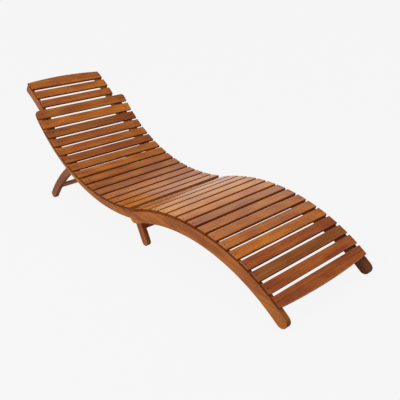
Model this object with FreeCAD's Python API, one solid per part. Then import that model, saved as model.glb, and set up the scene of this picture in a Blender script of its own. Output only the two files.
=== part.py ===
import FreeCAD, Part
import math
import os

# Folding slatted wooden sun lounger, millimetres, Z up.
# X runs along the length from the head end to the foot end, Y across, floor at zero.

# Cross sections of the timber
slat_thick = 14.0
slat_width = 46.0
slat_gap = 12.1
head_slat_gap = 17.5
slat_count = 15
head_slat_count = 3
slat_length = 550.0
slat_edge_round = 2.5
rail_height = 52.0
foot_rail_thick = 24.0
back_rail_thick = 20.0
rail_edge_round = 1.5
head_rail_height = 40.0
head_rail_thick = 17.0
head_inset = 12.0
leg_width = 39.3
leg_thick = 24.0
leg_edge_round = 4.0
bar_width = 35.0
bar_thick = 12.0
bar_edge_round = 2.5

# Clearances
fold_gap = 2.0
layer_gap = 1.0
slat_seat = 0.05
run_clear = 0.05
hole_clear = 0.05
bolt_gap = 0.2
stop_clear = 0.5
flat_tolerance = 0.001

# Wave shaped side view, one radius along the middle of the wood stack
mid_radius = 826.0
wave_slope = 16.7
hinge_to_tangent = 73.0
back_slat_from_hinge = 39.2
foot_slat_from_hinge = 45.5
head_slat_from_join = 96.5
head_join_from_hinge = 858.7
head_tail = 44.0
rail_overrun = 10.0
hinge_eye_radius = 24.0
hinge_eye_start = 31.0

# Shaped end slats
foot_end_bow = 11.5
head_end_extra = 3.3
head_end_bow = 13.5
head_slat_trim = 4.0
head_rail_overrun = 2.0
head_rail_bulge = 8.0
back_corner_round = 18.0

# Legs
rear_pivot_from_hinge = 569.0
mid_pivot_from_hinge = 55.0
rear_leg_length = 323.7
mid_leg_length = 143.5
mid_leg_spread = 60.6
rear_bar_from_pivot = 253.0
mid_bar_from_pivot = 70.0
sole_cut = 1.0
tenon_radius = 5.0
tenon_length = 14.0

# Fasteners
screw_radius = 2.0
screw_head_radius = 3.5
screw_head_depth = 2.5
screw_length = 32.0
screw_sink = 0.2
tail_screw_bite = 8.0
bolt_radius = 4.0
bolt_head_radius = 8.5
bolt_head_thick = 3.0
bolt_socket_flats = 5.0
bolt_socket_depth = 2.0
bolt_bite = 16.0

# Values that follow from the ones above
vec = FreeCAD.Vector
axis_y = vec(0, 1, 0)
half_rail = rail_height / 2
half_leg = leg_width / 2
half_slat = slat_width / 2
stack = slat_thick + half_rail + fold_gap / 2
pitch = slat_width + slat_gap
head_pitch = slat_width + head_slat_gap
back_top = mid_radius - stack
foot_top = mid_radius + stack
back_rail_near = back_top + slat_thick
back_rail_far = back_rail_near + rail_height
foot_rail_far = foot_top - slat_thick
foot_rail_near = foot_rail_far - rail_height
head_rail_far = foot_rail_far
head_rail_near = head_rail_far - head_rail_height

foot_outer = slat_length / 2
foot_inner = foot_outer - foot_rail_thick
back_outer = foot_inner - layer_gap
back_inner = back_outer - back_rail_thick
leg_outer = back_inner - layer_gap
leg_inner = leg_outer - leg_thick
head_outer = leg_outer - head_inset
head_inner = head_outer - head_rail_thick
foot_rail_y = (foot_inner + foot_outer) / 2
back_rail_y = (back_inner + back_outer) / 2
head_rail_y = (head_inner + head_outer) / 2

slope = math.radians(wave_slope)
along = vec(math.cos(slope), 0, math.sin(slope))
across = vec(-math.sin(slope), 0, math.cos(slope))

# The middle legs set the height of the hinge: their pivot hangs a little below it on the wave.
to_centre = along * hinge_to_tangent + across * mid_radius
mid_turn = math.atan2(-to_centre.x, to_centre.z) - mid_pivot_from_hinge / mid_radius
mid_drop = mid_radius * math.cos(mid_turn) - to_centre.z
mid_leg_rise = math.sqrt(mid_leg_length ** 2 - mid_leg_spread ** 2)
hinge = vec(0, 0, half_leg - sole_cut + mid_leg_rise + mid_drop)
tangent_point = hinge + along * hinge_to_tangent

# A section is a circle centre and the side of it, -1 below or 1 above, where the wood lies.
# Angles run from the vertical through the centre, growing towards the foot end.
back = {"centre": tangent_point + across * mid_radius, "side": -1}
foot = {"centre": tangent_point - across * mid_radius, "side": 1}


def deg_of(length, radius):
    return math.degrees(length / radius)


def spot(section, radius, angle):
    turn = math.radians(angle)
    lift = section["side"] * radius * math.cos(turn)
    return section["centre"] + vec(radius * math.sin(turn), 0, lift)


def tangent(section, angle):
    turn = math.radians(angle)
    return vec(math.cos(turn), 0, -section["side"] * math.sin(turn))


def angle_of(section, point):
    gap = point - section["centre"]
    return math.degrees(math.atan2(gap.x, section["side"] * gap.z))


def seat(section, radius, angle):
    turn = FreeCAD.Rotation(axis_y, section["side"] * angle)
    return FreeCAD.Placement(spot(section, radius, angle), turn)


def placed(shape, placement):
    copy = shape.copy()
    copy.Placement = placement.multiply(copy.Placement)
    return copy


hinge_on_back = angle_of(back, hinge)
hinge_on_foot = angle_of(foot, hinge)
join_angle = hinge_on_back - deg_of(head_join_from_hinge, mid_radius)
join_reach = back_rail_near + head_rail_far
head = {"centre": spot(back, join_reach, join_angle), "side": 1}
join_on_head = angle_of(head, spot(back, back_rail_near, join_angle))

back_angles = []
foot_angles = []
for index in range(slat_count):
    from_hinge = back_slat_from_hinge + (slat_count - 1 - index) * pitch
    back_angles.append(hinge_on_back - deg_of(from_hinge, back_top))
    foot_angles.append(hinge_on_foot + deg_of(foot_slat_from_hinge + index * pitch, foot_top))
head_angles = []
for index in range(head_slat_count):
    from_join = head_slat_from_join + (head_slat_count - 1 - index) * head_pitch
    head_angles.append(join_on_head - deg_of(from_join, foot_top))

# Flat slats touch a hollow rail along their edges and a crowned rail along their middle.
back_seat = math.sqrt((back_rail_near - slat_seat) ** 2 - half_slat ** 2) - slat_thick
foot_seat = foot_rail_far + slat_seat + slat_thick


# Outline helpers
def arc_edge(start, middle, end):
    return Part.Arc(start, middle, end).toShape()


def ring_edge(section, radius, start, end):
    middle = (start + end) / 2
    return arc_edge(spot(section, radius, start), spot(section, radius, middle), spot(section, radius, end))


def cap_edge(section, near, far, angle, way, bulge=0.0):
    middle = (near + far) / 2
    reach = bulge if bulge > 0 else (far - near) / 2
    tip = spot(section, middle, angle) + tangent(section, angle) * (way * reach)
    return arc_edge(spot(section, near, angle), tip, spot(section, far, angle))


def line_edge(start, end):
    return Part.makeLine(start, end)


def face_of(edges):
    return Part.Face(Part.Wire(Part.__sortEdges__(edges)))


def ring_face(section, near, far, start, end):
    edges = [
        ring_edge(section, near, start, end),
        cap_edge(section, near, far, end, 1),
        ring_edge(section, far, start, end),
        cap_edge(section, near, far, start, -1),
    ]
    return face_of(edges)


def layer(face, inner, outer, side):
    start = inner if side > 0 else -outer
    flat = face.copy()
    flat.translate(vec(0, start, 0))
    return flat.extrude(vec(0, outer - inner, 0))


def flat_edges(shape):
    edges = []
    for edge in shape.Edges:
        if edge.BoundBox.YLength < flat_tolerance:
            edges.append(edge)
    return edges


def eased(shape, radius):
    return shape.makeFillet(radius, flat_edges(shape))


def on_floor(shape):
    box = shape.BoundBox
    start = vec(box.XMin - leg_thick, box.YMin - leg_thick, -rail_height)
    below = Part.makeBox(box.XLength + 2 * leg_thick, box.YLength + 2 * leg_thick, rail_height, start)
    return shape.cut(below)


# Slats, modelled flat with the top face at zero and the screws along Y
def slat_blank(length, reach_head=half_slat, reach_foot=half_slat, bow_head=0.0, bow_foot=0.0, corner=0.0):
    half = length / 2
    low_head = vec(-reach_head + corner, -half, 0)
    high_head = vec(-reach_head + corner, half, 0)
    low_foot = vec(reach_foot, -half, 0)
    high_foot = vec(reach_foot, half, 0)
    edges = [line_edge(low_head, low_foot), line_edge(high_head, high_foot)]
    if bow_foot > 0:
        edges.append(arc_edge(low_foot, vec(reach_foot + bow_foot, 0, 0), high_foot))
    else:
        edges.append(line_edge(low_foot, high_foot))
    if corner > 0:
        cut = corner * (1 - math.sqrt(0.5))
        low_side = vec(-reach_head, -half + corner, 0)
        high_side = vec(-reach_head, half - corner, 0)
        edges.append(arc_edge(low_head, vec(-reach_head + cut, -half + cut, 0), low_side))
        edges.append(line_edge(low_side, high_side))
        edges.append(arc_edge(high_side, vec(-reach_head + cut, half - cut, 0), high_head))
    elif bow_head > 0:
        edges.append(arc_edge(low_head, vec(-reach_head - bow_head, 0, 0), high_head))
    else:
        edges.append(line_edge(low_head, high_head))
    blank = face_of(edges).extrude(vec(0, 0, -slat_thick))
    level = []
    for edge in blank.Edges:
        if edge.BoundBox.ZLength < flat_tolerance:
            level.append(edge)
    return blank.makeFillet(slat_edge_round, level)


def screw_at(y_pos, grow=0.0, length=screw_length):
    down = vec(0, 0, -1)
    start = vec(0, y_pos, -screw_sink)
    shank = Part.makeCylinder(screw_radius + grow, length + grow, start, down)
    cone = Part.makeCone(screw_head_radius + grow, screw_radius + grow, screw_head_depth, start, down)
    shape = shank.fuse(cone)
    if grow > 0:
        mouth = Part.makeCylinder(screw_head_radius + grow, screw_sink, vec(0, y_pos, 0), down)
        shape = shape.fuse(mouth)
    return shape


def slat_row(prefix, section, radius, angles, blanks, screw_y, nodes):
    screws = []
    holes = []
    for index, angle in enumerate(angles):
        where = seat(section, radius, angle)
        blank = placed(blanks[index], where)
        for side in (-1, 1):
            hole = placed(screw_at(side * screw_y, hole_clear), where)
            blank = blank.cut(hole)
            holes.append((side, hole))
            screws.append(placed(screw_at(side * screw_y), where))
        nodes[prefix + "_slat_" + str(index + 1).zfill(2)] = blank
    nodes[prefix + "_slat_screws"] = Part.makeCompound(screws)
    return holes


def drilled(shape, side, holes):
    for hole_side, hole in holes:
        if hole_side == side:
            shape = shape.cut(hole)
    return shape


# Pivot bolt along Y, its head on the inside and its end blind in the outer piece
def bolt_shape(centre, inner, end, side):
    out = vec(0, side, 0)
    under_head = vec(centre.x, side * (inner - bolt_gap), centre.z)
    shank = Part.makeCylinder(bolt_radius, end - inner + bolt_gap, under_head, out)
    cap = Part.makeCylinder(bolt_head_radius, bolt_head_thick, under_head, out * -1)
    corner = bolt_socket_flats / math.sqrt(3)
    face_centre = under_head - out * bolt_head_thick
    points = []
    for step in range(7):
        turn = math.radians(60 * step)
        points.append(face_centre + vec(corner * math.cos(turn), 0, corner * math.sin(turn)))
    socket = Part.Face(Part.makePolygon(points)).extrude(out * bolt_socket_depth)
    return shank.fuse(cap.cut(socket))


def hole_shape(centre, radius, start, end, side):
    return Part.makeCylinder(radius, end - start, vec(centre.x, side * start, centre.z), vec(0, side, 0))


nodes = {}
sides = {"right": -1, "left": 1}

# Slat rows with their screws
plain = slat_blank(slat_length)
back_blanks = [plain] * slat_count
back_blanks[0] = slat_blank(slat_length, corner=back_corner_round)
foot_blanks = [plain] * slat_count
foot_blanks[-1] = slat_blank(slat_length, bow_foot=foot_end_bow)
head_plain = slat_blank(2 * head_outer)
head_blanks = [head_plain] * head_slat_count
head_reach = half_slat + head_end_extra
head_blanks[0] = slat_blank(2 * head_outer, reach_head=head_reach, bow_head=head_end_bow)
head_blanks[-1] = slat_blank(2 * head_outer, reach_foot=half_slat - head_slat_trim)
back_holes = slat_row("back", back, back_seat, back_angles, back_blanks, back_rail_y, nodes)
foot_holes = slat_row("foot", foot, foot_seat, foot_angles, foot_blanks, foot_rail_y, nodes)
head_holes = slat_row("head", head, foot_seat, head_angles, head_blanks, head_rail_y, nodes)

# Pivots on the back rails
rear_angle = hinge_on_back - deg_of(rear_pivot_from_hinge, mid_radius)
mid_angle = hinge_on_back - deg_of(mid_pivot_from_hinge, mid_radius)
rear_pivot = spot(back, mid_radius, rear_angle)
mid_pivot = spot(back, mid_radius, mid_angle)

# Foot rails, round at both ends and standing on the floor
foot_mid = (foot_rail_near + foot_rail_far) / 2
stand_cos = (half_rail - sole_cut - foot["centre"].z) / foot_mid
foot_end = math.degrees(math.acos(stand_cos))
foot_face = ring_face(foot, foot_rail_near, foot_rail_far, hinge_on_foot, foot_end)
hinge_bolts = []
for name, side in sides.items():
    rail = on_floor(eased(layer(foot_face, foot_inner, foot_outer, side), rail_edge_round))
    bolt_end = foot_inner + bolt_bite
    rail = rail.cut(hole_shape(hinge, bolt_radius + hole_clear, foot_inner, bolt_end, side))
    nodes["foot_rail_" + name] = drilled(rail, side, foot_holes)
    hinge_bolts.append(bolt_shape(hinge, back_inner, bolt_end - hole_clear, side))
nodes["hinge_bolts"] = Part.makeCompound(hinge_bolts)


# Back rails, round at the head end and narrowed to an eye at the hinge
def eye_touch(point, way):
    gap = point - hinge
    turn = math.atan2(gap.z, gap.x) + way * math.acos(hinge_eye_radius / gap.Length)
    return hinge + vec(math.cos(turn), 0, math.sin(turn)) * hinge_eye_radius


back_mid = (back_rail_near + back_rail_far) / 2
back_tip = back_angles[0] - deg_of(half_slat + rail_overrun, back_top)
back_start = back_tip + deg_of(half_rail, back_mid)
eye_angle = hinge_on_back - deg_of(hinge_eye_start, back_mid)
eye_high = spot(back, back_rail_near, eye_angle)
eye_low = spot(back, back_rail_far, eye_angle)
touch_high = eye_touch(eye_high, -1)
touch_low = eye_touch(eye_low, 1)
eye_tip = hinge + tangent(back, hinge_on_back) * hinge_eye_radius
back_face = face_of([
    ring_edge(back, back_rail_near, back_start, eye_angle),
    ring_edge(back, back_rail_far, back_start, eye_angle),
    cap_edge(back, back_rail_near, back_rail_far, back_start, -1),
    line_edge(eye_high, touch_high),
    line_edge(eye_low, touch_low),
    arc_edge(touch_high, eye_tip, touch_low),
])
rear_bolts = []
mid_bolts = []
for name, side in sides.items():
    rail = eased(layer(back_face, back_inner, back_outer, side), rail_edge_round)
    rail = rail.cut(hole_shape(hinge, bolt_radius + run_clear, back_inner, back_outer, side))
    bolt_end = back_inner + bolt_bite
    for pivot, bolts in ((rear_pivot, rear_bolts), (mid_pivot, mid_bolts)):
        rail = rail.cut(hole_shape(pivot, bolt_radius + hole_clear, back_inner, bolt_end, side))
        bolts.append(bolt_shape(pivot, leg_inner, bolt_end - hole_clear, side))
    nodes["back_rail_" + name] = drilled(rail, side, back_holes)
nodes["rear_pivot_bolts"] = Part.makeCompound(rear_bolts)
nodes["mid_pivot_bolts"] = Part.makeCompound(mid_bolts)

# Head rails, crowned under the head slats, the hollow tails screwed under the first two back slats
head_start = head_angles[0] - deg_of(head_reach + head_rail_overrun, foot_top)
head_start = head_start + deg_of(head_rail_bulge, head_rail_far)
tail_end = join_angle + deg_of(head_tail - head_rail_height / 2, back_rail_near)
tail_far = back_rail_near + head_rail_height
head_face = face_of([
    ring_edge(head, head_rail_far, head_start, join_on_head),
    ring_edge(head, head_rail_near, head_start, join_on_head),
    cap_edge(head, head_rail_near, head_rail_far, head_start, -1, head_rail_bulge),
    ring_edge(back, back_rail_near, join_angle, tail_end),
    ring_edge(back, tail_far, join_angle, tail_end),
    cap_edge(back, back_rail_near, tail_far, tail_end, 1),
])
tail_screws = []
tail_holes = []
tail_length = head_rail_height + tail_screw_bite
flip = FreeCAD.Placement(vec(), FreeCAD.Rotation(vec(1, 0, 0), 180))
first_on_head = angle_of(head, spot(back, back_rail_near, back_angles[0]))
tail_seats = [seat(head, head_rail_near, first_on_head), seat(back, tail_far, back_angles[1])]
for tail_seat in tail_seats:
    where = tail_seat.multiply(flip)
    for side in (-1, 1):
        tail_screws.append(placed(screw_at(side * head_rail_y, length=tail_length), where))
        tail_holes.append((-side, placed(screw_at(side * head_rail_y, hole_clear, tail_length), where)))
for name, side in sides.items():
    rail = eased(layer(head_face, head_inner, head_outer, side), rail_edge_round)
    rail = drilled(rail, side, tail_holes)
    nodes["head_rail_" + name] = drilled(rail, side, head_holes)
    for slat_name in ("back_slat_01", "back_slat_02"):
        nodes[slat_name] = drilled(nodes[slat_name], side, tail_holes)
nodes["head_rail_screws"] = Part.makeCompound(tail_screws)


# Legs are drawn folded along the back rails, then swung open until the foot meets the floor.
def turned(shape, pivot, angle):
    copy = shape.copy()
    copy.rotate(pivot, axis_y, angle)
    return copy


def heading(vector):
    return math.degrees(math.atan2(vector.z, vector.x))


def foot_point(pivot, length, way):
    height = half_leg - sole_cut
    reach = math.sqrt(length ** 2 - (pivot.z - height) ** 2)
    return vec(pivot.x + way * reach, 0, height)


# The heel is a square corner on the upper end that meets a slat when the leg is open.
def heel_edges(pivot, top, side, swing):
    open_normal = (back["centre"] - pivot).normalize()
    normal = FreeCAD.Rotation(axis_y, -swing).multVec(open_normal)
    room = mid_radius - back_rail_near - stop_clear
    reach = (room - half_leg * side.dot(normal)) / top.dot(normal)
    corner = pivot + top * reach + side * half_leg
    to_corner = (corner - pivot).normalize()
    touch = to_corner * (2 * half_leg * side.dot(to_corner)) - side * half_leg
    middle = (touch - side * half_leg).normalize() * half_leg
    return [
        line_edge(pivot + side * half_leg, corner),
        line_edge(corner, pivot + touch),
        arc_edge(pivot + touch, pivot + middle, pivot - side * half_leg),
    ]


def leg_pair(prefix, face, pivot, swing, bar_centre, bar_heading, nodes):
    bar = Part.makeBox(bar_width, 2 * leg_inner, bar_thick, vec(-bar_width / 2, -leg_inner, -bar_thick / 2))
    bar = bar.makeFillet(bar_edge_round, [e for e in bar.Edges if e.BoundBox.YLength > leg_inner])
    tenon_reach = leg_inner + tenon_length
    tenon = Part.makeCylinder(tenon_radius, 2 * tenon_reach, vec(0, -tenon_reach, 0), axis_y)
    turn = FreeCAD.Placement(bar_centre, FreeCAD.Rotation(axis_y, -bar_heading))
    bar = placed(bar.fuse(tenon), turn)
    nodes[prefix + "_crossbar"] = turned(bar, pivot, swing)
    for name, side in sides.items():
        leg = eased(layer(face, leg_inner, leg_outer, side), leg_edge_round)
        leg = leg.cut(hole_shape(pivot, bolt_radius + run_clear, leg_inner, leg_outer, side))
        socket_end = tenon_reach + hole_clear
        leg = leg.cut(hole_shape(bar_centre, tenon_radius + hole_clear, leg_inner, socket_end, side))
        nodes[prefix + "_leg_" + name] = on_floor(turned(leg, pivot, swing))


# Rear legs, curved like the rails
rear_tip_angle = rear_angle + 2 * math.degrees(math.asin(rear_leg_length / 2 / mid_radius))
rear_tip = spot(back, mid_radius, rear_tip_angle)
rear_foot = foot_point(rear_pivot, rear_leg_length, -1)
rear_swing = (heading(rear_tip - rear_pivot) - heading(rear_foot - rear_pivot)) % 360
rear_near = mid_radius - half_leg
rear_far = mid_radius + half_leg
rear_top = tangent(back, rear_angle) * -1
rear_side = (rear_pivot - back["centre"]).normalize()
rear_face = face_of([
    ring_edge(back, rear_near, rear_angle, rear_tip_angle),
    ring_edge(back, rear_far, rear_angle, rear_tip_angle),
    cap_edge(back, rear_near, rear_far, rear_tip_angle, 1),
] + heel_edges(rear_pivot, rear_top, rear_side, rear_swing))
rear_bar_angle = rear_angle + deg_of(rear_bar_from_pivot, mid_radius)
rear_bar_centre = spot(back, mid_radius, rear_bar_angle)
leg_pair("rear", rear_face, rear_pivot, rear_swing, rear_bar_centre, rear_bar_angle, nodes)

# Middle legs, straight
mid_tip_angle = mid_angle - 2 * math.degrees(math.asin(mid_leg_length / 2 / mid_radius))
mid_tip = spot(back, mid_radius, mid_tip_angle)
mid_foot = foot_point(mid_pivot, mid_leg_length, 1)
mid_swing = (heading(mid_tip - mid_pivot) - heading(mid_foot - mid_pivot)) % 360 - 360
mid_dir = (mid_tip - mid_pivot).normalize()
mid_side = vec(-mid_dir.z, 0, mid_dir.x)
mid_edge = mid_side * half_leg
mid_face = face_of([
    line_edge(mid_pivot + mid_edge, mid_tip + mid_edge),
    arc_edge(mid_tip + mid_edge, mid_tip + mid_dir * half_leg, mid_tip - mid_edge),
    line_edge(mid_tip - mid_edge, mid_pivot - mid_edge),
] + heel_edges(mid_pivot, mid_dir * -1, mid_side, mid_swing))
mid_bar_centre = mid_pivot + mid_dir * mid_bar_from_pivot
leg_pair("mid", mid_face, mid_pivot, mid_swing, mid_bar_centre, heading(mid_dir), nodes)

# Origin under the middle of the whole object
box = Part.makeCompound(list(nodes.values())).optimalBoundingBox(False, False)
shift = vec(-(box.XMin + box.XMax) / 2, 0, 0)
os.makedirs("parts", exist_ok=True)
for name, shape in nodes.items():
    shape.translated(shift).exportStep("parts/" + name + ".step")

fold_full = 180 + 2 * math.degrees(math.atan(hinge_to_tangent / mid_radius))
print("nodes", len(nodes))
extent = [round(length, 2) for length in (box.XLength, box.YLength, box.ZLength)]
print("size", *extent, "floor", round(box.ZMin, 3))
print("shift", round(shift.x, 3), "concentric fold", round(fold_full, 2))
for label, point in (("hinge", hinge), ("rear", rear_pivot), ("mid", mid_pivot)):
    print(label, "pivot", round(point.x + shift.x, 3), round(point.z, 3))
print("leg swings", round(rear_swing, 3), round(mid_swing, 3))
front_foot = spot(foot, foot_mid, foot_end)
feet = [round(point.x + shift.x, 2) for point in (rear_foot, mid_foot, front_foot)]
print("feet", *feet)
for name, shape in nodes.items():
    if not shape.isValid() or shape.Volume <= 0:
        print("bad shape", name, shape.Volume)
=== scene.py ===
import bpy
import math
from mathutils import Matrix, Vector


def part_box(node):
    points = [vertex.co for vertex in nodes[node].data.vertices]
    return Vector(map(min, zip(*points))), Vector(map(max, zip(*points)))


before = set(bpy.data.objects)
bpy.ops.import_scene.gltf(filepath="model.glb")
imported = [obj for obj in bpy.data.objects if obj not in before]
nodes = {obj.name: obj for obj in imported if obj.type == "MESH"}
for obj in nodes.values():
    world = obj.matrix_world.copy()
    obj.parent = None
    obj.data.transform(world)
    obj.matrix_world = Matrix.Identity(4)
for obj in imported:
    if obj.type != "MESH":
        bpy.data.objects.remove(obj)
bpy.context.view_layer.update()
print("frame loaded:", len(nodes), "pieces")


def linear(red, green, blue):
    # screen colour, 0 to 255, to the linear values that shaders use
    out = []
    for value in (red, green, blue):
        part = value / 255
        out.append(part / 12.92 if part <= 0.04045 else ((part + 0.055) / 1.055) ** 2.4)
    return (*out, 1.0)


def tinted(color, scales):
    # colour scaled channel by channel, never past white
    return tuple(min(1.0, part * scale) for part, scale in zip(color, scales)) + (1.0,)


# small helpers for node trees
def addNode(tree, kind, place=(0, 0), **settings):
    node = tree.nodes.new(kind)
    node.location = place
    for name, value in settings.items():
        setattr(node, name, value)
    return node


def setInputs(node, **values):
    for name, value in values.items():
        node.inputs[name].default_value = value
    return node


def mathNode(tree, operation, first, second=None, place=(0, 0)):
    node = addNode(tree, "ShaderNodeMath", place, operation=operation)
    for index, value in enumerate((first, second)):
        if value is None:
            continue
        if isinstance(value, (int, float)):
            node.inputs[index].default_value = value
        else:
            tree.links.new(value, node.inputs[index])
    return node.outputs[0]


def rangeNode(tree, value, fromLow, fromHigh, toLow, toHigh, place=(0, 0), smooth=True):
    node = addNode(tree, "ShaderNodeMapRange", place)
    node.interpolation_type = "SMOOTHSTEP" if smooth else "LINEAR"
    setInputs(node, **{"From Min": fromLow, "From Max": fromHigh, "To Min": toLow, "To Max": toHigh})
    tree.links.new(value, node.inputs["Value"])
    return node.outputs["Result"]


def mixColor(tree, factor, first, second, blend="MIX", place=(0, 0)):
    node = addNode(tree, "ShaderNodeMix", place, data_type="RGBA", blend_type=blend)
    sockets = (node.inputs["Factor"], node.inputs[6], node.inputs[7])
    for socket, value in zip(sockets, (factor, first, second)):
        if isinstance(value, bpy.types.NodeSocket):
            tree.links.new(value, socket)
        else:
            socket.default_value = value
    return node.outputs[2]


def noiseNode(tree, vector, scale, detail, roughness, distortion=0.0, place=(0, 0)):
    stretch = addNode(tree, "ShaderNodeMapping", (place[0] - 200, place[1]))
    stretch.inputs["Scale"].default_value = scale
    tree.links.new(vector, stretch.inputs["Vector"])
    node = addNode(tree, "ShaderNodeTexNoise", place)
    setInputs(node, Scale=1.0, Detail=detail, Roughness=roughness, Distortion=distortion)
    tree.links.new(stretch.outputs["Vector"], node.inputs["Vector"])
    return node.outputs["Fac"]


def makeGroup(name, inputs, outputs):
    group = bpy.data.node_groups.new(name, "ShaderNodeTree")
    for socketName, kind, value in inputs:
        socket = group.interface.new_socket(name=socketName, in_out="INPUT", socket_type=kind)
        if value is not None:
            socket.default_value = value
    for socketName, kind in outputs:
        group.interface.new_socket(name=socketName, in_out="OUTPUT", socket_type=kind)
    entry = addNode(group, "NodeGroupInput", (-1200, 0))
    leave = addNode(group, "NodeGroupOutput", (900, 0))
    return group, entry.outputs, leave.inputs


def seededCoords(group, into, step):
    # each board reads its own part of the noise
    spread = addNode(group, "ShaderNodeVectorMath", (-1000, 100), operation="SCALE")
    spread.inputs[0].default_value = step
    group.links.new(into["Seed"], spread.inputs["Scale"])
    moved = addNode(group, "ShaderNodeVectorMath", (-850, 100), operation="ADD")
    group.links.new(into["Coords"], moved.inputs[0])
    group.links.new(spread.outputs[0], moved.inputs[1])
    return moved.outputs[0]


# Wood grain. Piece coordinates are in metres: X across the grain, Y along it, Z through the board.
grain = {
    "seedStep": (1.7, 0.93, 2.31),
    "streaks": (110.0, 2.4, 110.0), "streakNoise": (5.0, 0.62, 0.4), "streakRange": (0.32, 0.68),
    "fibres": (620.0, 9.0, 620.0), "fibreNoise": (3.0, 0.6), "fibreRange": (0.3, 0.7),
    "fibreShade": (0.90, 1.08), "fibreHeight": 0.6,
    "pores": (900.0, 26.0, 900.0), "poreNoise": (1.0, 0.5), "poreRange": (0.60, 0.74), "poreDepth": 0.28,
    "poreTone": (0.055, 0.020, 0.007, 1.0),
    "rings": (26.0, 0.55, 26.0), "ringBend": 7.0, "ringDetail": 2.0, "ringDetailScale": 1.2,
    "ringRange": (0.55, 1.0),
}


def makeGrainGroup():
    group, into, out = makeGroup(
        "woodGrain",
        [("Coords", "NodeSocketVector", None), ("Seed", "NodeSocketFloat", 0.0),
         ("Pale", "NodeSocketColor", None), ("Deep", "NodeSocketColor", None),
         ("Streaks", "NodeSocketFloat", 1.0), ("Rings", "NodeSocketFloat", 0.5)],
        [("Color", "NodeSocketColor"), ("Height", "NodeSocketFloat"), ("Fibre", "NodeSocketFloat")])
    coords = seededCoords(group, into, grain["seedStep"])
    streak = noiseNode(group, coords, grain["streaks"], *grain["streakNoise"], place=(-450, 300))
    fibre = noiseNode(group, coords, grain["fibres"], *grain["fibreNoise"], place=(-450, 0))
    pore = noiseNode(group, coords, grain["pores"], *grain["poreNoise"], place=(-450, -300))
    stretch = addNode(group, "ShaderNodeMapping", (-650, 600))
    stretch.inputs["Scale"].default_value = grain["rings"]
    group.links.new(coords, stretch.inputs["Vector"])
    ring = addNode(group, "ShaderNodeTexWave", (-450, 600), wave_type="BANDS", bands_direction="X")
    setInputs(ring, **{"Scale": 1.0, "Distortion": grain["ringBend"], "Detail": grain["ringDetail"],
                       "Detail Scale": grain["ringDetailScale"]})
    group.links.new(stretch.outputs["Vector"], ring.inputs["Vector"])
    # pale and deep wood follow the streaks, then the ring lines and pores darken it
    tone = rangeNode(group, streak, *grain["streakRange"], 0.0, 1.0, (-250, 300))
    tone = mathNode(group, "MULTIPLY", tone, into["Streaks"], (-100, 300))
    ground = mixColor(group, tone, into["Pale"], into["Deep"], place=(50, 300))
    ringLine = rangeNode(group, ring.outputs["Fac"], *grain["ringRange"], 0.0, 1.0, (-250, 600))
    ringLine = mathNode(group, "MULTIPLY", ringLine, into["Rings"], (-100, 600))
    ground = mixColor(group, ringLine, ground, into["Deep"], place=(200, 300))
    fine = rangeNode(group, fibre, *grain["fibreRange"], *grain["fibreShade"], (-250, 0))
    fineColor = addNode(group, "ShaderNodeCombineColor", (-50, 0))
    for channel in fineColor.inputs:
        group.links.new(fine, channel)
    ground = mixColor(group, 1.0, ground, fineColor.outputs[0], "MULTIPLY", (350, 300))
    poreMask = rangeNode(group, pore, *grain["poreRange"], 0.0, grain["poreDepth"], (-250, -300))
    ground = mixColor(group, poreMask, ground, grain["poreTone"], place=(500, 300))
    bumpy = mathNode(group, "MULTIPLY", fibre, grain["fibreHeight"], (-50, -150))
    bumpy = mathNode(group, "SUBTRACT", bumpy, poreMask, (100, -150))
    group.links.new(ground, out["Color"])
    group.links.new(bumpy, out["Height"])
    group.links.new(streak, out["Fibre"])
    return group


# Masks for edge wear, end grain and narrow sides, read from the direction that the surface faces in piece
# coordinates; the material uses them for wear with a painted edge highlight, and for painted shade on ends and
# sides
wear = {
    "edgeRange": (0.03, 0.22), "endRange": (0.72, 0.95), "sideRange": (0.7, 0.95),
    "patches": (60.0, 14.0, 60.0), "patchNoise": (3.0, 0.6), "patchRange": (0.35, 0.65),
    "patchShare": (0.35, 1.0),
}


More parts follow.
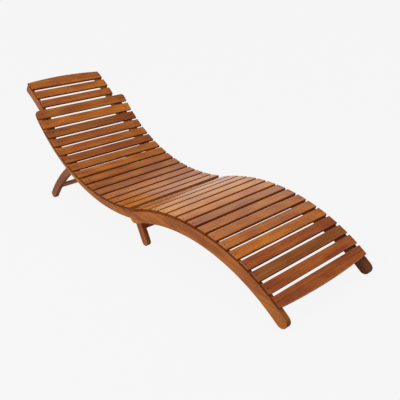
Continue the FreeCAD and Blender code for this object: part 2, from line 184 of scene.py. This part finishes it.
def makeEdgeGroup():
    group, into, out = makeGroup(
        "edgeAndEnd",
        [("Facing", "NodeSocketVector", None), ("Coords", "NodeSocketVector", None),
         ("Curved", "NodeSocketFloat", 0.0)],
        [("Edge", "NodeSocketFloat"), ("End", "NodeSocketFloat"), ("Side", "NodeSocketFloat")])
    plain = addNode(group, "ShaderNodeVectorMath", (-1000, 0), operation="ABSOLUTE")
    group.links.new(into["Facing"], plain.inputs[0])
    split = addNode(group, "ShaderNodeSeparateXYZ", (-850, 0))
    group.links.new(plain.outputs[0], split.inputs[0])
    acrossFace, alongFace, throughFace = split.outputs
    # a straight board has four sides, a curved one has a side all round
    flatSide = mathNode(group, "MAXIMUM", acrossFace, alongFace, (-650, 150))
    acrossSquare = mathNode(group, "POWER", acrossFace, 2.0, (-700, 350))
    alongSquare = mathNode(group, "POWER", alongFace, 2.0, (-700, 500))
    roundSide = mathNode(group, "ADD", acrossSquare, alongSquare, (-550, 400))
    roundSide = mathNode(group, "SQRT", roundSide, place=(-400, 400))
    side = addNode(group, "ShaderNodeMix", (-250, 200))
    group.links.new(into["Curved"], side.inputs["Factor"])
    group.links.new(flatSide, side.inputs["A"])
    group.links.new(roundSide, side.inputs["B"])
    most = mathNode(group, "MAXIMUM", side.outputs["Result"], throughFace, (-50, 150))
    edge = mathNode(group, "SUBTRACT", 1.0, most, (100, 150))
    edge = rangeNode(group, edge, *wear["edgeRange"], 0.0, 1.0, (250, 150))
    patch = noiseNode(group, into["Coords"], wear["patches"], *wear["patchNoise"], place=(-50, -200))
    patch = rangeNode(group, patch, *wear["patchRange"], *wear["patchShare"], (100, -200))
    end = rangeNode(group, alongFace, *wear["endRange"], 0.0, 1.0, (250, -50))
    narrow = rangeNode(group, side.outputs["Result"], *wear["sideRange"], 0.0, 1.0, (250, 350))
    group.links.new(mathNode(group, "MULTIPLY", edge, patch, (450, 100)), out["Edge"])
    group.links.new(end, out["End"])
    group.links.new(narrow, out["Side"])
    return group


# Slow drift of tone along a board, with a few stained patches
drift = {
    "seedStep": (0.71, 2.13, 1.37),
    "clouds": (17.0, 6.5, 17.0), "cloudNoise": (3.0, 0.55), "cloudRange": (0.32, 0.68),
    "stains": (34.0, 9.0, 34.0), "stainNoise": (4.0, 0.65), "stainRange": (0.60, 0.78),
}


def makeDriftGroup():
    group, into, out = makeGroup(
        "toneDrift",
        [("Coords", "NodeSocketVector", None), ("Seed", "NodeSocketFloat", 0.0)],
        [("Drift", "NodeSocketFloat"), ("Stain", "NodeSocketFloat")])
    coords = seededCoords(group, into, drift["seedStep"])
    cloud = noiseNode(group, coords, drift["clouds"], *drift["cloudNoise"], place=(-400, 150))
    stain = noiseNode(group, coords, drift["stains"], *drift["stainNoise"], place=(-400, -150))
    group.links.new(rangeNode(group, cloud, *drift["cloudRange"], 0.0, 1.0, (-150, 150)), out["Drift"])
    group.links.new(rangeNode(group, stain, *drift["stainRange"], 0.0, 1.0, (-150, -150)), out["Stain"])
    return group


grainGroup = makeGrainGroup()
edgeGroup = makeEdgeGroup()
driftGroup = makeDriftGroup()
print("shared wood groups ready")


def pieceRows(along, through):
    # rotation that takes the object's axes to across, along and through
    across = along.cross(through).normalized()
    return Matrix((across, along.normalized(), through.normalized()))


def faceUp(piece):
    # direction of a slat's broad face, from its largest polygon
    best = max(piece.data.polygons, key=lambda face: face.area * (abs(face.normal.y) < 0.1))
    up = best.normal.copy()
    return up if up.z > 0 else -up


def pieceSpace(tree, rows, centre):
    turn = rows.to_euler()
    coords = addNode(tree, "ShaderNodeTexCoord", (-1400, 0))
    local = addNode(tree, "ShaderNodeMapping", (-1200, 100))
    local.inputs["Rotation"].default_value = turn
    local.inputs["Location"].default_value = -(rows @ centre)
    tree.links.new(coords.outputs["Object"], local.inputs["Vector"])
    facing = addNode(tree, "ShaderNodeMapping", (-1200, -300), vector_type="NORMAL")
    facing.inputs["Rotation"].default_value = turn
    tree.links.new(coords.outputs["Normal"], facing.inputs["Vector"])
    return local.outputs["Vector"], facing.outputs["Vector"]


# Tones that the boards were picked from, pale and deep streak of each, as seen in even white light
boards = {
    "straw": (linear(200, 128, 46), linear(174, 104, 38)),
    "honey": (linear(188, 112, 40), linear(162, 90, 34)),
    "gold": (linear(177, 104, 40), linear(151, 83, 34)),
    "copper": (linear(171, 99, 39), linear(145, 79, 33)),
    "amber": (linear(166, 96, 40), linear(140, 76, 33)),
    "chestnut": (linear(158, 88, 38), linear(132, 70, 32)),
    "umber": (linear(145, 82, 37), linear(120, 65, 31)),
    "rose": (linear(162, 86, 38), linear(136, 68, 32)),
    # darkest tone, used only as painted shade on the far foot rail
    "farRailShadeWalnut": (linear(124, 70, 34), linear(98, 54, 28)),
}

# Oiled hardwood. The oil film is rubbed onto the broad faces only, thickest on the slats.
oil = {
    # Per finish, the side share paints shade onto the narrow sides of the boards, which lie in shadow in the
    # gaps between them
    "slat": {"ior": 1.05, "film": 1.0, "paintedSideShade": 0.55},
    "frame": {"ior": 1.2, "film": 0.1, "paintedSideShade": 0.25},
    "filmIor": 1.5, "filmRough": 0.18,
    "rough": (0.42, 0.56), "roughRange": (0.3, 0.7), "sideRough": 0.4,
    "streaks": 0.85, "cast": ((0.82, 1.14), (0.72, 1.22), (0.90, 1.12)),
    "stain": 0.35, "stainTint": (0.45, 0.45, 0.45),
    # Rubbed edges are lighter from wear, and the same lightening paints a highlight along them
    "edgeWearAndHighlight": 0.22, "edgeWearAndHighlightTint": (1.5, 1.5, 1.5),
    # painted shade colour for the narrow sides: the deep tone, darker and redder
    "paintedSideShadeTint": (0.45, 0.25, 0.2),
    # End grain takes more oil and is darker, and the same tone paints the shade that falls on the board ends
    "endGrainAndShade": 0.72, "endGrainAndShadeTone": linear(84, 48, 34),
    "bump": 0.10, "bumpDepth": 0.0006,
}


def woodMaterial(name, board, rows, centre, seed, curved, finish, rings):
    pale, deep = board
    coatOf = oil[finish]
    material = bpy.data.materials.new(name)
    material.use_nodes = True
    tree = material.node_tree
    shader = tree.nodes["Principled BSDF"]
    setInputs(shader, **{"IOR": coatOf["ior"], "Coat IOR": oil["filmIor"], "Coat Roughness": oil["filmRough"]})
    coords, facing = pieceSpace(tree, rows, centre)
    wood = addNode(tree, "ShaderNodeGroup", (-900, 200), node_tree=grainGroup)
    setInputs(wood, Seed=seed, Pale=pale, Deep=deep, Streaks=oil["streaks"], Rings=rings)
    tree.links.new(coords, wood.inputs["Coords"])
    edges = addNode(tree, "ShaderNodeGroup", (-900, -150), node_tree=edgeGroup)
    setInputs(edges, Curved=1.0 if curved else 0.0)
    tree.links.new(coords, edges.inputs["Coords"])
    tree.links.new(facing, edges.inputs["Facing"])
    tone = addNode(tree, "ShaderNodeGroup", (-900, -400), node_tree=driftGroup)
    setInputs(tone, Seed=seed)
    tree.links.new(coords, tone.inputs["Coords"])

    # drift between a golden and a redder, deeper cast of the same board
    castColor = addNode(tree, "ShaderNodeCombineColor", (-480, -400))
    for channel, (low, high) in zip(castColor.inputs, oil["cast"]):
        cast = rangeNode(tree, tone.outputs["Drift"], 0.0, 1.0, low, high, (-650, -400), smooth=False)
        tree.links.new(cast, channel)
    color = mixColor(tree, 1.0, wood.outputs["Color"], castColor.outputs[0], "MULTIPLY", (-300, 200))

    # stains, rubbed edges with a painted highlight, painted shade on the narrow sides, and darker end grain
    # with painted shade, one over the other
    stain = mathNode(tree, "MULTIPLY", tone.outputs["Stain"], oil["stain"], (-480, -560))
    # edges lightened for wear and as a painted highlight
    wearAndHighlight = mathNode(tree, "MULTIPLY", edges.outputs["Edge"], oil["edgeWearAndHighlight"], (-480, -150))
    # painted shade on the narrow sides of the board
    sides = mathNode(tree, "MULTIPLY", edges.outputs["Side"], coatOf["paintedSideShade"], (-480, -200))
    # darker end grain with painted shade on the ends
    ends = mathNode(tree, "MULTIPLY", edges.outputs["End"], oil["endGrainAndShade"], (-480, -250))
    layers = ((stain, tinted(deep, oil["stainTint"])), (wearAndHighlight, tinted(pale, oil["edgeWearAndHighlightTint"])),
              (sides, tinted(deep, oil["paintedSideShadeTint"])), (ends, oil["endGrainAndShadeTone"]))
    for index, (mask, layerTone) in enumerate(layers):
        color = mixColor(tree, mask, color, layerTone, place=(-150 + 100 * index, 200))
    tree.links.new(color, shader.inputs["Base Color"])

    film = rangeNode(tree, edges.outputs["Side"], 0.0, 1.0, coatOf["film"], 0.0, (-300, -200), smooth=False)
    tree.links.new(film, shader.inputs["Coat Weight"])
    rough = rangeNode(tree, wood.outputs["Fibre"], *oil["roughRange"], *oil["rough"], (-300, -50))
    drySides = mathNode(tree, "MULTIPLY", sides, oil["sideRough"], (-150, -150))
    tree.links.new(mathNode(tree, "ADD", rough, drySides, (0, -50)), shader.inputs["Roughness"])
    bump = addNode(tree, "ShaderNodeBump", (0, -300))
    setInputs(bump, Strength=oil["bump"], Distance=oil["bumpDepth"])
    tree.links.new(wood.outputs["Height"], bump.inputs["Height"])
    tree.links.new(bump.outputs["Normal"], shader.inputs["Normal"])
    return material


def dress(piece, material):
    piece.data.materials.clear()
    piece.data.materials.append(material)


def dressWood(name, toneName, rows, seed, curved, finish, rings):
    low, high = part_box(name)
    look = woodMaterial(name + "_wood", boards[toneName], rows, (low + high) / 2, seed, curved, finish, rings)
    dress(nodes[name], look)


# Slats in rows, counted from the head end
slats = {
    "seedStep": 1.37, "rings": 0.45,
    "rows": {
        "head": {"seed": 3.0, "tones": ["amber", "gold", "amber"]},
        "back": {"seed": 20.0, "tones": [
            "amber", "honey", "umber", "amber", "gold", "chestnut", "amber", "gold",
            "amber", "amber", "amber", "gold", "gold", "honey", "honey"]},
        "foot": {"seed": 37.0, "tones": [
            "honey", "straw", "straw", "straw", "straw", "honey", "amber", "gold",
            "gold", "gold", "honey", "rose", "umber", "rose", "rose"]},
    },
}

for rowName, facts in slats["rows"].items():
    for index, toneName in enumerate(facts["tones"]):
        name = rowName + "_slat_" + str(index + 1).zfill(2)
        rows = pieceRows(Vector((0, 1, 0)), faceUp(nodes[name]))
        seed = facts["seed"] + slats["seedStep"] * index
        dressWood(name, toneName, rows, seed, False, "slat", slats["rings"])
print("slats dressed")

# Rails and legs are sawn from straight boards, so the grain runs straight along the chord
frameBoards = {
    "seedStep": 2.9, "rings": 0.6,
    "pieces": {
        "back_rail": {"slope": -20.6, "right": "gold", "left": "gold", "seed": 71.0},
        # the left foot rail, on the far side, gets the darker tone as painted shade because its inner face
        # lies in shadow under the slats
        "foot_rail": {"slope": -8.9, "right": "copper", "left": "farRailShadeWalnut", "seed": 76.3},
        "head_rail": {"slope": -40.0, "right": "amber", "left": "amber", "seed": 81.6},
        "rear_leg": {"slope": 42.3, "right": "umber", "left": "umber", "seed": 86.9},
        "mid_leg": {"slope": -64.9, "right": "amber", "left": "amber", "seed": 92.2},
    },
}

for boardName, facts in frameBoards["pieces"].items():
    slope = math.radians(facts["slope"])
    rows = pieceRows(Vector((math.cos(slope), 0, math.sin(slope))), Vector((0, 1, 0)))
    for index, sideName in enumerate(("right", "left")):
        seed = facts["seed"] + frameBoards["seedStep"] * index
        dressWood(boardName + "_" + sideName, facts[sideName], rows, seed, True, "frame", frameBoards["rings"])

crossbars = {"tone": "chestnut", "rings": 0.45, "seeds": {"rear_crossbar": 113.0, "mid_crossbar": 114.0}}

for name, seed in crossbars["seeds"].items():
    rows = pieceRows(Vector((0, 1, 0)), faceUp(nodes[name]))
    dressWood(name, crossbars["tone"], rows, seed, False, "frame", crossbars["rings"])
print("rails, legs and crossbars dressed")

# Browned steel screws and bolts under a film of oil
steel = {
    "color": linear(132, 86, 50), "tarnish": linear(98, 60, 34),
    "spots": (900.0, 900.0, 900.0), "spotNoise": (4.0, 0.6), "spotRange": (0.4, 0.65),
    "wearRange": (0.3, 0.7), "rough": (0.35, 0.6), "metal": (0.75, 0.25),
}


def steelMaterial():
    material = bpy.data.materials.new("brownedSteel")
    material.use_nodes = True
    tree = material.node_tree
    shader = tree.nodes["Principled BSDF"]
    coords = addNode(tree, "ShaderNodeTexCoord", (-900, 0))
    spots = noiseNode(tree, coords.outputs["Object"], steel["spots"], *steel["spotNoise"], place=(-500, 0))
    mask = rangeNode(tree, spots, *steel["spotRange"], 0.0, 1.0, (-300, 0))
    color = mixColor(tree, mask, steel["color"], steel["tarnish"], place=(-100, 100))
    rough = rangeNode(tree, spots, *steel["wearRange"], *steel["rough"], (-100, -150))
    metal = rangeNode(tree, spots, *steel["wearRange"], *steel["metal"], (-100, -350))
    tree.links.new(color, shader.inputs["Base Color"])
    tree.links.new(rough, shader.inputs["Roughness"])
    tree.links.new(metal, shader.inputs["Metallic"])
    return material


steelLook = steelMaterial()
for name, piece in nodes.items():
    if name.endswith("_screws") or name.endswith("_bolts"):
        dress(piece, steelLook)
print("fasteners dressed")

# Camera at the photograph's place
shot = {
    "place": (1.9133, -1.6038, 1.2118), "yaw": 47.117, "pitch": 23.383, "roll": -1.014,
    "lens": 51.505, "sensor": 36.0, "farClip": 200.0,
}


def makeCamera():
    data = bpy.data.cameras.new("shotCamera")
    data.sensor_width = shot["sensor"]
    data.lens = shot["lens"]
    data.clip_end = shot["farClip"]
    camera = bpy.data.objects.new("shotCamera", data)
    bpy.context.scene.collection.objects.link(camera)
    turn = Matrix.Rotation(math.radians(shot["yaw"]), 4, "Z")
    turn = turn @ Matrix.Rotation(math.radians(90 - shot["pitch"]), 4, "X")
    turn = turn @ Matrix.Rotation(math.radians(shot["roll"]), 4, "Z")
    camera.matrix_world = Matrix.Translation(shot["place"]) @ turn
    bpy.context.scene.camera = camera


# Pale studio: one white wall beyond the far side, a broad lamp above and a floor that keeps a faint shadow
studio = {
    "paper": linear(247, 247, 247), "room": 0.82,
    "floorHalf": 45.0, "floorDrop": 0.0005, "ground": linear(200, 200, 200), "shadow": 0.035,
    "wallSide": (-0.491, 0.85, 0.191), "wallRange": (0.77, 0.985), "dim": 0.03,
    "lamp": 66.0, "lampSize": 2.6, "lampPlace": (0.0, -2.5, 2.9), "lampAim": (0.0, 0.0, 0.2),
}


def shownTo(tree, place):
    # rays that see the pale background rather than the light on the object
    seen = addNode(tree, "ShaderNodeLightPath", place)
    byCamera = seen.outputs["Is Camera Ray"]
    byGloss, byGlass = seen.outputs["Is Glossy Ray"], seen.outputs["Is Transmission Ray"]
    mirrored = mathNode(tree, "MAXIMUM", byGloss, byGlass, place)
    return byCamera, mathNode(tree, "MAXIMUM", byCamera, mirrored, place)


def makeFloor():
    half = studio["floorHalf"]
    corners = [(-half, -half, 0), (half, -half, 0), (half, half, 0), (-half, half, 0)]
    mesh = bpy.data.meshes.new("paleFloor")
    mesh.from_pydata(corners, [], [(0, 1, 2, 3)])
    floor = bpy.data.objects.new("paleFloor", mesh)
    floor.location.z = -studio["floorDrop"]
    bpy.context.scene.collection.objects.link(floor)
    material = bpy.data.materials.new("palePaper")
    material.use_nodes = True
    tree = material.node_tree
    tree.nodes.clear()
    out = addNode(tree, "ShaderNodeOutputMaterial", (600, 0))
    lit = addNode(tree, "ShaderNodeBsdfDiffuse", (0, 150))
    lit.inputs["Color"].default_value = studio["ground"]
    even = addNode(tree, "ShaderNodeEmission", (0, -50))
    even.inputs["Color"].default_value = studio["paper"]
    shown = shownTo(tree, (-300, 300))[1]
    share = mathNode(tree, "MULTIPLY", shown, 1 - studio["shadow"], (0, 350))
    mix = addNode(tree, "ShaderNodeMixShader", (300, 0))
    tree.links.new(share, mix.inputs[0])
    tree.links.new(lit.outputs[0], mix.inputs[1])
    tree.links.new(even.outputs[0], mix.inputs[2])
    tree.links.new(mix.outputs[0], out.inputs[0])
    mesh.materials.append(material)


def makeRoom():
    world = bpy.data.worlds.new("paleRoom")
    bpy.context.scene.world = world
    world.use_nodes = True
    tree = world.node_tree
    tree.nodes.clear()
    out = addNode(tree, "ShaderNodeOutputWorld", (600, 0))
    room = addNode(tree, "ShaderNodeBackground", (0, 100))
    room.inputs["Color"].default_value = (1.0, 1.0, 1.0, 1.0)
    room.inputs["Strength"].default_value = studio["room"]
    paper = addNode(tree, "ShaderNodeBackground", (0, -100))
    paper.inputs["Color"].default_value = studio["paper"]
    byCamera, shown = shownTo(tree, (-300, 300))
    coords = addNode(tree, "ShaderNodeTexCoord", (-700, -150))
    nearWall = addNode(tree, "ShaderNodeVectorMath", (-500, -150), operation="DOT_PRODUCT")
    nearWall.inputs[1].default_value = studio["wallSide"]
    tree.links.new(coords.outputs["Generated"], nearWall.inputs[0])
    wall = rangeNode(tree, nearWall.outputs["Value"], *studio["wallRange"], studio["dim"], 1.0, (-300, -150))
    tree.links.new(mathNode(tree, "MAXIMUM", byCamera, wall, (-150, -100)), paper.inputs["Strength"])
    mix = addNode(tree, "ShaderNodeMixShader", (300, 0))
    tree.links.new(shown, mix.inputs[0])
    tree.links.new(room.outputs[0], mix.inputs[1])
    tree.links.new(paper.outputs[0], mix.inputs[2])
    tree.links.new(mix.outputs[0], out.inputs[0])


def makeLamp():
    data = bpy.data.lights.new("broadLamp", "AREA")
    data.shape = "DISK"
    data.size = studio["lampSize"]
    data.energy = studio["lamp"]
    lamp = bpy.data.objects.new("broadLamp", data)
    lamp.location = studio["lampPlace"]
    aim = Vector(studio["lampAim"]) - lamp.location
    lamp.rotation_euler = aim.to_track_quat("-Z", "Y").to_euler()
    bpy.context.scene.collection.objects.link(lamp)


makeCamera()
makeFloor()
makeRoom()
makeLamp()
bpy.context.scene.view_settings.view_transform = "Standard"
print("camera, floor and light ready")
